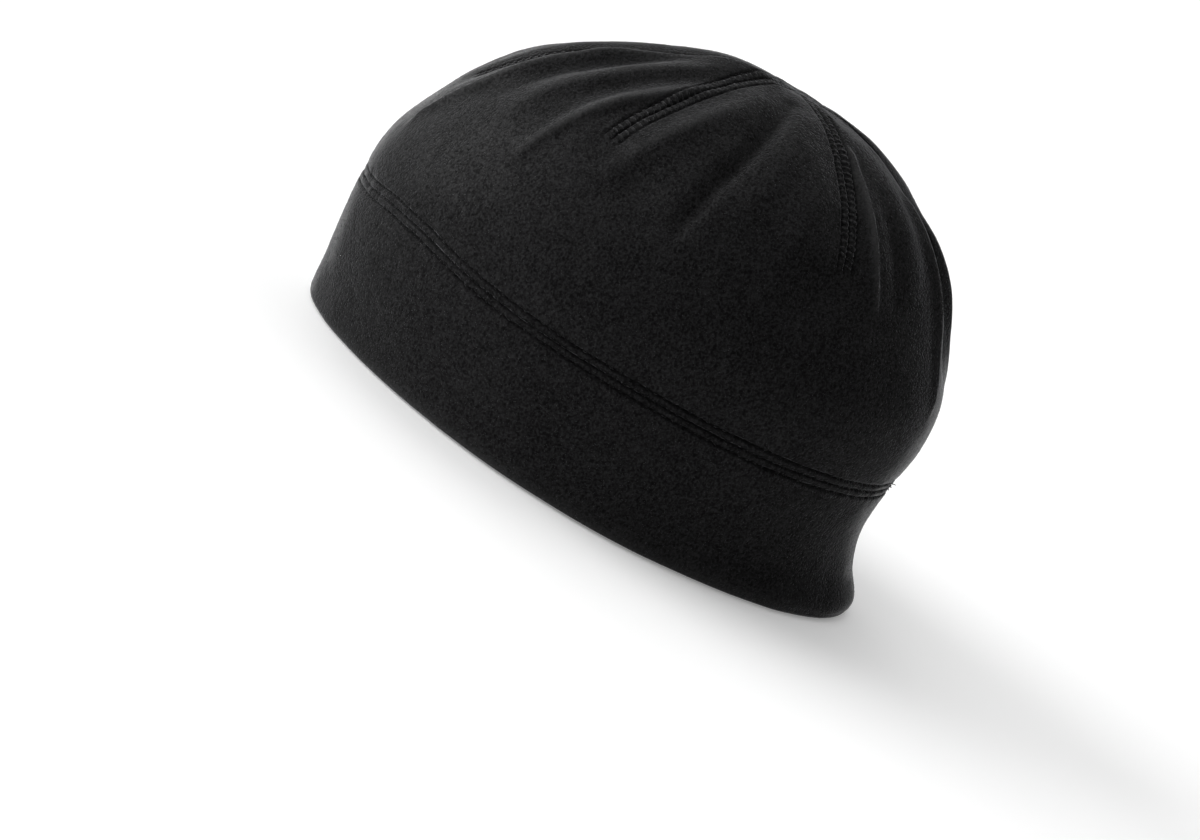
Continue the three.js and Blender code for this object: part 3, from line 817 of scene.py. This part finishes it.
def fleeceMaterial(name, look, shares=()):
    # Brushed cloth; shares names the point values that turn its colour to that of the same name in look: for
    # the cloths, painted shade in their needle lines and shaded valleys, and a painted highlight on their fold
    # tops and hem edge. Its coat grows from coat to edgeCoat where the cloth turns away from the eye, as its
    # standing nap
    # shines there: more on its tufts, and none where the painted shade is full.
    material = bpy.data.materials.new(name)
    material.use_nodes = True
    tree = material.node_tree
    shader = tree.nodes["Principled BSDF"]
    coordinates = addNode(tree, "ShaderNodeTexCoord")
    nap = addNode(tree, "ShaderNodeGroup", node_tree=brushedNap)
    tree.links.new(coordinates.outputs["Object"], nap.inputs["Vector"])
    spread = addNode(tree, "ShaderNodeMapRange", From_Min=look["shadeFrom"], From_Max=look["shadeTo"])
    tree.links.new(nap.outputs["Shade"], spread.inputs["Value"])
    color = addNode(tree, "ShaderNodeMix", data_type="RGBA")
    color.inputs[6].default_value, color.inputs[7].default_value = look["dark"], look["light"]
    tree.links.new(spread.outputs["Result"], color.inputs["Factor"])
    result = color.outputs[2]
    for share in shares:
        value = addNode(tree, "ShaderNodeAttribute", attribute_name=share)
        turned = addNode(tree, "ShaderNodeMix", data_type="RGBA")
        turned.inputs[7].default_value = look[share]
        tree.links.new(value.outputs["Fac"], turned.inputs["Factor"])
        tree.links.new(result, turned.inputs[6])
        result = turned.outputs[2]
    tree.links.new(result, shader.inputs["Base Color"])
    bump = addNode(tree, "ShaderNodeBump", Strength=look["napStrength"], Distance=look["napDepth"])
    tree.links.new(nap.outputs["Height"], bump.inputs["Height"])
    tree.links.new(bump.outputs["Normal"], shader.inputs["Normal"])
    tufted = addNode(tree, "ShaderNodeMapRange", From_Min=look["shadeFrom"], From_Max=look["shadeTo"],
                     To_Min=look["tuftLow"], To_Max=look["tuftHigh"])
    tree.links.new(nap.outputs["Shade"], tufted.inputs["Value"])
    facing = addNode(tree, "ShaderNodeLayerWeight", Blend=0.5)
    edge = addNode(tree, "ShaderNodeMapRange", interpolation_type="SMOOTHSTEP", From_Min=look["edgeFrom"],
                   From_Max=look["edgeTo"], To_Min=look["coat"], To_Max=look["edgeCoat"])
    tree.links.new(facing.outputs["Facing"], edge.inputs["Value"])
    weight = mathNode(tree, "MULTIPLY", edge.outputs["Result"], tufted.outputs["Result"])
    # The gloss is also taken away where painted shade lies, in step with its share
    if "paintedGrooveShade" in shares:
        sunk = addNode(tree, "ShaderNodeAttribute", attribute_name="paintedGrooveShade")
        weight = mathNode(tree, "MULTIPLY", weight, mathNode(tree, "SUBTRACT", 1.0, sunk.outputs["Fac"]))
    tree.links.new(weight, shader.inputs["Coat Weight"])
    for socket, value in plainSockets.items():
        shader.inputs[socket].default_value = look[value]
    return material


print("materials")
# Both cloths take painted shade in their needle lines and shaded valleys, and a painted highlight on their
# fold tops and hem edge
crownCloth.data.materials.append(fleeceMaterial("crownFleece", fleeceLook, ("paintedGrooveShade", "crest")))
bandCloth.data.materials.append(fleeceMaterial("bandFleece", fleeceLook, ("paintedGrooveShade", "crest")))
rungLook = dict(fleeceLook, dark=(0.006, 0.006, 0.0063, 1), light=(0.034, 0.034, 0.035, 1), napDepth=0.0005)
threadLook = dict(rungLook, dark=(0.003, 0.003, 0.0031, 1), light=(0.01, 0.01, 0.0104, 1))
rungMaterial = fleeceMaterial("dartThread", rungLook)
threadMaterial = fleeceMaterial("needleThread", threadLook)
for thread in threads:
    thick = thread.name in ("dartRungs", "napeThread")
    thread.data.materials.append(rungMaterial if thick else threadMaterial)
# The loose fibres are lighter than the cloth: partly their own tone, and partly painted light that stands in
# for the light they scatter
fibreLook = dict(fleeceLook, dark=(0.015, 0.015, 0.016, 1), light=(0.06, 0.06, 0.0615, 1), sheen=0.15,
                 edgeCoat=0.1, napStrength=0.0, alpha=0.45)
fibreMaterial = fleeceMaterial("looseFibre", fibreLook)
for nap in (crownNap, bandNap):
    nap.data.materials.append(fibreMaterial)


# The studio: a pale floor under a pale world, soft suns round the cap and a camera square to its left side.
# A sun's azimuth is counted from the forehead's side round to the wearer's left, and softness is its width in
# degrees; suns light the whole floor evenly, so it stays white out to the frame's edges.
studio = dict(floorSize=16.0, floorDrop=0.0003, floorColor=(0.86, 0.86, 0.86, 1), floorRoughness=0.9,
              floorGlow=0.22, worldColor=(1, 1, 1, 1), worldStrength=0.02)
suns = [
    dict(name="keyLight", azimuth=-45, elevation=45, softness=60, strength=0.8),
    dict(name="frontLight", azimuth=0, elevation=12, softness=50, strength=4.3),
    dict(name="fillLight", azimuth=38, elevation=45, softness=60, strength=0.9),
    dict(name="highBackLight", azimuth=-90, elevation=55, softness=60, strength=0.85),
    dict(name="napeLight", azimuth=-160, elevation=45, softness=60, strength=0.35),
    dict(name="edgeLight", azimuth=-50, elevation=8, softness=30, strength=0.5),
]
cameraView = dict(distance=1.4, elevation=14.6, roll=31.6, aimY=0.0032, aimZ=0.0115, focalPixels=4340,
                  frameWidth=1200, sensorWidth=36.0)


def makeStudio():
    s = studio
    half = s["floorSize"] / 2
    corners = np.array([[-half, -half, 0], [half, -half, 0], [half, half, 0], [-half, half, 0]])
    corners[:, 2] = -s["floorDrop"]
    floor = makeMesh("floor", corners / mm, np.array([[0, 1, 2, 3]]))
    material = bpy.data.materials.new("paleFloor")
    material.use_nodes = True
    sockets = material.node_tree.nodes["Principled BSDF"].inputs
    sockets["Base Color"].default_value = s["floorColor"]
    sockets["Roughness"].default_value = s["floorRoughness"]
    sockets["Emission Color"].default_value = (1, 1, 1, 1)
    sockets["Emission Strength"].default_value = s["floorGlow"]
    floor.data.materials.append(material)
    world = bpy.data.worlds.new("paleRoom")
    world.use_nodes = True
    background = world.node_tree.nodes["Background"]
    background.inputs["Color"].default_value = s["worldColor"]
    background.inputs["Strength"].default_value = s["worldStrength"]
    scene.world = world
    for sun in suns:
        turn, rise = math.radians(sun["azimuth"]), math.radians(sun["elevation"])
        way = Vector((math.sin(turn) * math.cos(rise), -math.cos(turn) * math.cos(rise), math.sin(rise)))
        data = bpy.data.lights.new(sun["name"], "SUN")
        data.energy, data.angle = sun["strength"], math.radians(sun["softness"])
        lamp = bpy.data.objects.new(sun["name"], data)
        lamp.rotation_euler = way.to_track_quat("Z", "Y").to_euler()
        scene.collection.objects.link(lamp)


def makeCamera():
    # Square to the side, above the hem's plane by elevation; the cap's up leans right in the picture by roll
    v = cameraView
    rise, roll = math.radians(v["elevation"]), math.radians(v["roll"])
    back = Vector((math.cos(rise), 0, math.sin(rise)))
    level, up = Vector((0, 1, 0)), back.cross(Vector((0, 1, 0)))
    right = level * math.cos(roll) + up * math.sin(roll)
    top = up * math.cos(roll) - level * math.sin(roll)
    data = bpy.data.cameras.new("camera")
    data.sensor_fit, data.sensor_width = "HORIZONTAL", v["sensorWidth"]
    data.lens = v["focalPixels"] / v["frameWidth"] * v["sensorWidth"]
    camera = bpy.data.objects.new("camera", data)
    place = Vector((0, v["aimY"], v["aimZ"])) + back * v["distance"]
    camera.matrix_world = Matrix.Translation(place) @ Matrix((right, top, back)).transposed().to_4x4()
    scene.collection.objects.link(camera)
    scene.camera = camera


print("studio and camera")
makeStudio()
makeCamera()
scene.view_settings.view_transform = "Standard"

print("done")
